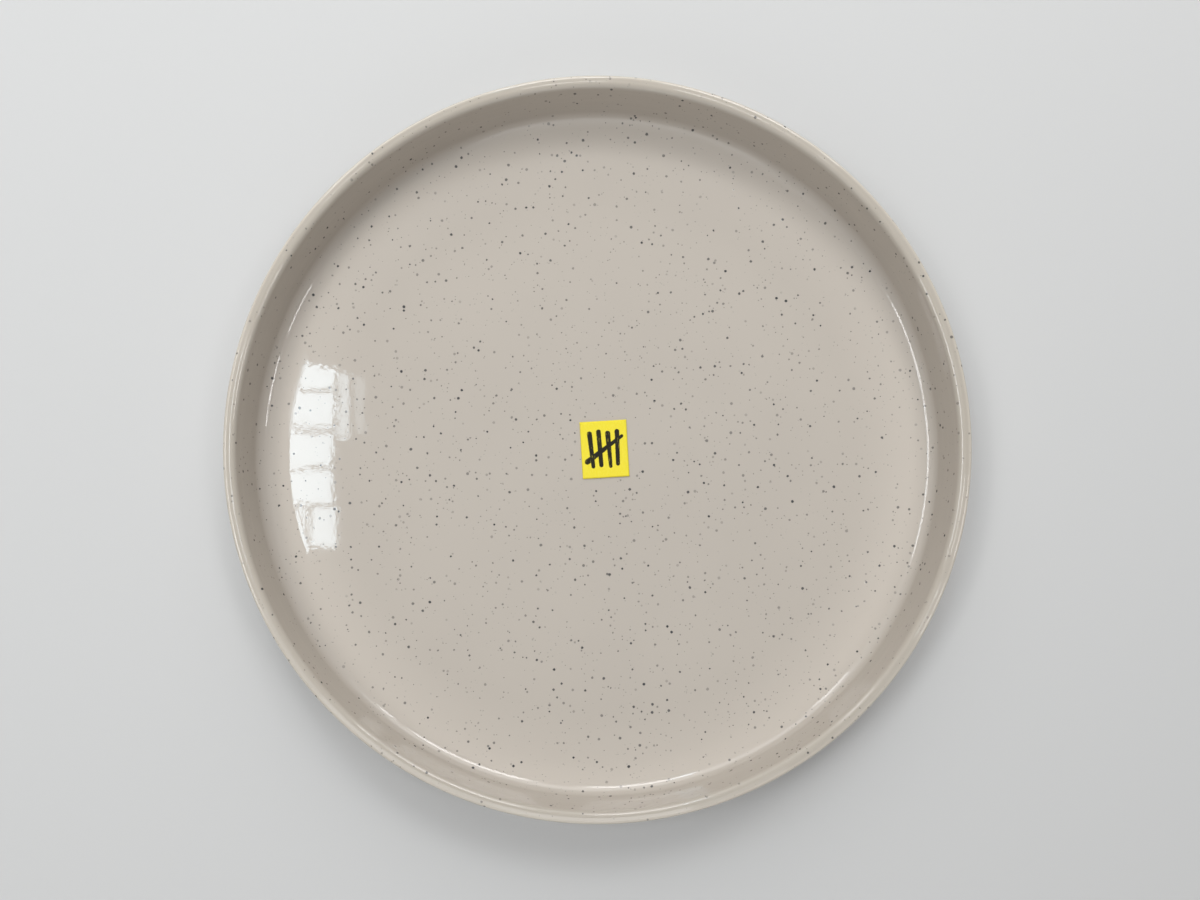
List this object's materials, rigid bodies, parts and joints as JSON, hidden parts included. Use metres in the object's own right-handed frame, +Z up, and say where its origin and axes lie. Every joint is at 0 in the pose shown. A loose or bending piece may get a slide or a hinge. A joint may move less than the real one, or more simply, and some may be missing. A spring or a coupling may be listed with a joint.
{
  "type": "round serving dish",
  "caption": "Round flat-bottomed serving dish in speckled glazed stoneware, with a low upright wall, a rounded lip and a foot ring, and a small paper label in its well.",
  "frame": {"origin": "on the dish's turning axis, at the height of the surface that its foot ring stands on", "axes": "+Z up along the turning axis, -Y towards the viewer of the picture, +X to the viewer's right"},
  "size_m": [0.28, 0.28, 0.029],
  "materials": {
    "stoneware": "bare fired clay, matt",
    "upper_glaze": "glossy taupe glaze with dark specks",
    "base_glaze": "glossy taupe glaze with dark specks",
    "label_paper": "matt yellow paper",
    "label_gum": "thin clear gum"
  },
  "bodies": {
    "root": {"stoneware_body": "stoneware", "upper_glaze": "upper_glaze", "base_glaze": "base_glaze", "label_paper": "label_paper", "label_adhesive": "label_gum"}
  },
  "joints": []
}
